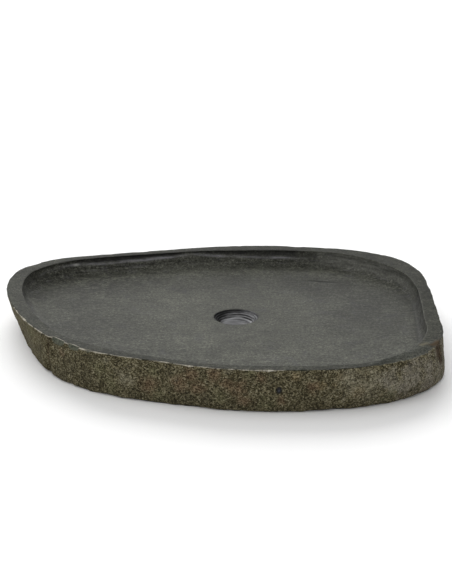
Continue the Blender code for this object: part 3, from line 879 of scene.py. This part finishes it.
    # waste hole: drilled rock, near black on its left and far side from painted shade, with painted light on its
    # right, and pale down the bore
    sun = k.attr("m_sun")
    lathe = k.noise(3.0, 1.5, 0.7, offset=(4, 4, 1), stretch=(0.05, 0.05, 1.0))
    turned = k.noise(1.9, 2.5, 0.75, offset=(2, 7, 4), stretch=(0.06, 0.06, 1.0))
    drilled = k.mix(sun, k.ramp(turned, [(0.38, (0.006, 0.006, 0.006)), (0.60, (0.024, 0.024, 0.025))]),
                    k.ramp(turned, [(0.40, (0.018, 0.018, 0.019)), (0.50, (0.080, 0.080, 0.082)), (0.60, (0.270, 0.270, 0.277))]))
    honed = k.mix(k.math("MULTIPLY", seat, 0.95), honed, drilled)
    # painted highlights on the seat's ring edges, brighter on the hole's lit side
    honed = k.mix(k.math("MULTIPLY", k.math("MULTIPLY", ridge_highlight, seat), k.range(sun, 0.2, 0.9, 0.15, 0.75)), honed, (0.24, 0.24, 0.245))
    # painted shadow in the seat's ring steps
    honed = k.mix(k.math("MULTIPLY", k.math("MULTIPLY", groove_shade, seat), 1.0), honed, (0.014, 0.014, 0.014))
    bored = k.ramp(lathe, [(0.40, (0.13, 0.13, 0.134)), (0.50, (0.31, 0.31, 0.317)), (0.60, (0.52, 0.52, 0.531))])
    # painted shade on the bore's darker side
    bored = k.mix(1.0, bored, k.mix(k.range(sun, 0.0, 0.7), (0.60, 0.60, 0.60), (1.12, 1.12, 1.12)), "MULTIPLY")
    honed = k.mix(k.math("MULTIPLY", bore, 0.95), honed, bored)
    honed = k.mix(k.range(crack, 0.10, 0.7, 0.0, 0.95), honed, (0.012, 0.012, 0.010))
    honed = k.mix(k.math("MULTIPLY", slope, 0.90), honed,
                  k.ramp(tone, [(0.41, (0.0160, 0.0170, 0.0130)), (0.50, (0.0315, 0.0330, 0.0262)), (0.59, (0.073, 0.076, 0.061))]))
    honed = k.mix(k.math("MULTIPLY", yellow, 0.70), honed, (0.112, 0.100, 0.062))

    # natural skin: fine speckle of beige and olive on dark, in drifts of rust, moss and ash
    grains = k.voronoi(1.5, output="Color")
    gsep = k.tree.nodes.new("ShaderNodeSeparateColor")
    k.link(grains, gsep.inputs[0])
    speck = k.noise(2.7, 4.0, 0.80, offset=(2, 8, 5))
    drift = k.noise(11.0, 4.0, 0.66, offset=(6, 1, 3))
    mixed = k.math("ADD", k.math("MULTIPLY", gsep.outputs[0], 0.40), k.math("MULTIPLY", speck, 0.60))
    mixed = k.math("ADD", mixed, k.math("MULTIPLY", k.math("SUBTRACT", drift, 0.5), 0.28))
    sleek = k.attr("m_sleek")
    combed = k.noise(5.0, 3.0, 0.65, offset=(8, 2, 6), stretch=(1.4, 1.4, 0.30))
    mixed = k.mixf(k.math("MULTIPLY", sleek, 0.50), mixed, k.range(combed, 0.3, 0.7, 0.34, 0.72, clamp=False))
    skin = k.ramp(mixed, [(0.27, (0.013, 0.0108, 0.0055)), (0.41, (0.034, 0.029, 0.015)),
                          (0.515, (0.069, 0.0595, 0.032)), (0.625, (0.128, 0.113, 0.067)), (0.79, (0.29, 0.263, 0.178))])
    ragged = k.noise(13.0, 4.0, 0.70, offset=(7, 7, 7))

    def drifted(name, amount, low, high):
        reach = k.math("ADD", k.math("MULTIPLY", k.attr(name), 0.8), k.math("MULTIPLY", k.math("SUBTRACT", ragged, 0.5), 1.9))
        tint = k.mix(k.range(mixed, 0.30, 0.76), low, high)
        return k.mix(k.range(reach, 0.25, 0.85, 0.0, amount), skin, tint)

    skin = drifted("m_rust", 0.62, (0.026, 0.015, 0.007), (0.225, 0.152, 0.094))
    skin = drifted("m_tan", 0.50, (0.045, 0.032, 0.013), (0.330, 0.255, 0.140))
    skin = drifted("m_pale", 0.62, (0.068, 0.062, 0.042), (0.310, 0.286, 0.205))
    skin = drifted("m_moss", 0.60, (0.018, 0.019, 0.008), (0.190, 0.182, 0.100))
    skin = drifted("m_ash", 0.70, (0.075, 0.068, 0.054), (0.310, 0.286, 0.233))
    skin = drifted("m_dark", 0.60, (0.010, 0.009, 0.005), (0.115, 0.103, 0.062))
    skin = k.mix(k.math("MULTIPLY", pit, 0.35), skin, (0.009, 0.008, 0.005))
    skin = k.mix(k.math("MULTIPLY", brown, 0.85), skin, k.mix(k.range(mixed, 0.4, 0.7), (0.012, 0.007, 0.003), (0.045, 0.024, 0.010)))

    # broken edge between the two, with a painted highlight along the top outer arris and fresh rock colour on the chip
    # facets
    rag = k.noise(5.0, 3.0, 0.6, offset=(3, 3, 9))
    where = k.math("ADD", rind, k.range(rag, 0.3, 0.7, -0.22, 0.22, clamp=False))
    is_skin = k.range(where, 0.42, 0.58)
    honed = k.mix(k.math("MULTIPLY", k.math("MULTIPLY", brown, rim), 0.9), honed, (0.052, 0.033, 0.015))
    colour = k.mix(is_skin, honed, skin)
    # painted highlight along the top outer arris, in broken patches
    patchy = k.math("ADD", k.noise(15.0, 4.0, 0.7, offset=(12, 1, 6)), k.math("MULTIPLY", k.math("SUBTRACT", k.attr("m_worn"), 0.5), 0.34))
    arris_highlight = k.math("MULTIPLY", k.range(edge, 0.40, 0.90), k.range(patchy, 0.46, 0.60))
    colour = k.mix(k.math("MULTIPLY", arris_highlight, 0.85), colour, k.mix(k.range(fine, 0.4, 0.6), (0.33, 0.305, 0.235), (0.56, 0.53, 0.455)))
    fresh = k.math("MULTIPLY", k.range(chipped, 0.25, 0.7), k.math("SUBTRACT", 1.0, k.math("MULTIPLY", arris_highlight, 0.9)))
    colour = k.mix(k.math("MULTIPLY", fresh, 0.80), colour,
                   k.ramp(mid, [(0.35, (0.042, 0.048, 0.036)), (0.62, (0.105, 0.113, 0.086))]))
    colour = k.mix(k.math("MULTIPLY", under, 0.6), colour, (0.056, 0.057, 0.048))
    k.link(colour, k.bsdf.inputs["Base Color"])

    rough = k.mixf(is_skin, k.range(fine, 0.3, 0.7, 0.66, 0.80), k.range(mixed, 0.2, 0.8, 0.96, 0.84))
    k.link(rough, k.bsdf.inputs["Roughness"])
    gloss = k.mixf(is_skin, k.mixf(rim, 0.105, 0.045), 0.10)
    gloss = k.math("MULTIPLY", gloss, k.math("SUBTRACT", 1.0, k.math("MULTIPLY", seat, 0.7)))
    k.link(gloss, k.bsdf.inputs["Specular IOR Level"])
    height = k.mixf(is_skin, k.math("MULTIPLY", tone, 0.16),
                    k.math("ADD", k.math("MULTIPLY", mixed, 0.80), k.math("MULTIPLY", mid, 0.5)))
    height = k.math("SUBTRACT", height, k.math("MULTIPLY", k.math("MULTIPLY", dark_fleck, 0.25), k.math("SUBTRACT", 1.0, is_skin)))
    k.link(k.bump(height, 0.85, 1.1), k.bsdf.inputs["Normal"])
    return k.mat


def nodule_material():
    k = Nodes("dark_mineral")
    core = k.attr("m_core")
    tone = k.noise(1.3, 3.0, 0.65)
    colour = k.ramp(tone, [(0.30, (0.005, 0.005, 0.005)), (0.55, (0.012, 0.0115, 0.011)), (0.75, (0.032, 0.030, 0.027))])
    glint = k.noise(0.9, 2.0, 0.6, offset=(3, 1, 2))
    colour = k.mix(k.math("MULTIPLY", k.range(core, 0.15, 0.70), k.range(glint, 0.35, 0.62)), colour, (0.080, 0.086, 0.110))
    k.link(colour, k.bsdf.inputs["Base Color"])
    k.link(k.range(tone, 0.3, 0.7, 0.50, 0.70), k.bsdf.inputs["Roughness"])
    k.bsdf.inputs["Specular IOR Level"].default_value = 0.2
    k.link(k.bump(tone, 0.6, 0.25), k.bsdf.inputs["Normal"])
    return k.mat


def floor_material():
    k = Nodes("pale_floor")
    tone = k.noise(900.0, 2.0, 0.5)
    k.link(k.ramp(tone, [(0.3, (0.93, 0.93, 0.93)), (0.7, (0.95, 0.95, 0.95))]), k.bsdf.inputs["Base Color"])
    k.bsdf.inputs["Roughness"].default_value = 0.9
    k.bsdf.inputs["Specular IOR Level"].default_value = 0.1
    return k.mat


# ------------------------------------------------------------------ the scene
stone = make_stone()
stone.data.materials.append(stone_material())
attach(stone, "root")
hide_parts("river_stone_basin")

nodule = make_nodule()
nodule.data.materials.append(nodule_material())
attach(nodule, "root")
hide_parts("dark_inclusion")

bpy.ops.mesh.primitive_plane_add(size=30.0, location=(0, 0, -0.00002))
floor = bpy.context.object
floor.name = "floor"
floor.data.materials.append(floor_material())


def area(name, place, target, size, power, colour=(1, 1, 1)):
    data = bpy.data.lights.new(name, "AREA")
    data.shape = "RECTANGLE"
    data.size, data.size_y = size
    data.energy = power
    data.color = colour
    obj = bpy.data.objects.new(name, data)
    obj.location = place
    obj.rotation_euler = (Vector(target) - Vector(place)).to_track_quat("-Z", "Y").to_euler()
    bpy.context.scene.collection.objects.link(obj)
    return obj


def sun(name, direction_from, strength, angle, colour=(1, 1, 1)):
    data = bpy.data.lights.new(name, "SUN")
    data.energy = strength
    data.angle = math.radians(angle)
    data.color = colour
    obj = bpy.data.objects.new(name, data)
    obj.rotation_euler = (-Vector(direction_from)).to_track_quat("-Z", "Y").to_euler()
    obj.location = Vector(direction_from) * 2
    bpy.context.scene.collection.objects.link(obj)
    return obj


sun("back_softbox", (-0.14, 0.88, 0.42), 3.3, 55)
sun("left_softbox", (-0.75, 0.05, 0.66), 0.55, 60)
sun("top_softbox", (-0.10, -0.10, 1.0), 0.45, 60)
sun("front_fill", (-0.05, -0.90, 0.40), 0.55, 70)

world = bpy.data.worlds.new("studio")
world.use_nodes = True
world.node_tree.nodes["Background"].inputs[0].default_value = (1.0, 1.0, 1.0, 1.0)
world.node_tree.nodes["Background"].inputs[1].default_value = 0.46
bpy.context.scene.world = world
bpy.context.scene.view_settings.view_transform = "Standard"

cam_data = bpy.data.cameras.new("camera")
cam_data.sensor_width = 36.0
cam_data.lens = 83.87
camera = bpy.data.objects.new("camera", cam_data)
camera.location = (0.0120, -1.8813, 0.7319)
camera.rotation_euler = (math.radians(90 - 19.268), 0.0, 0.0)
bpy.context.scene.collection.objects.link(camera)
bpy.context.scene.camera = camera
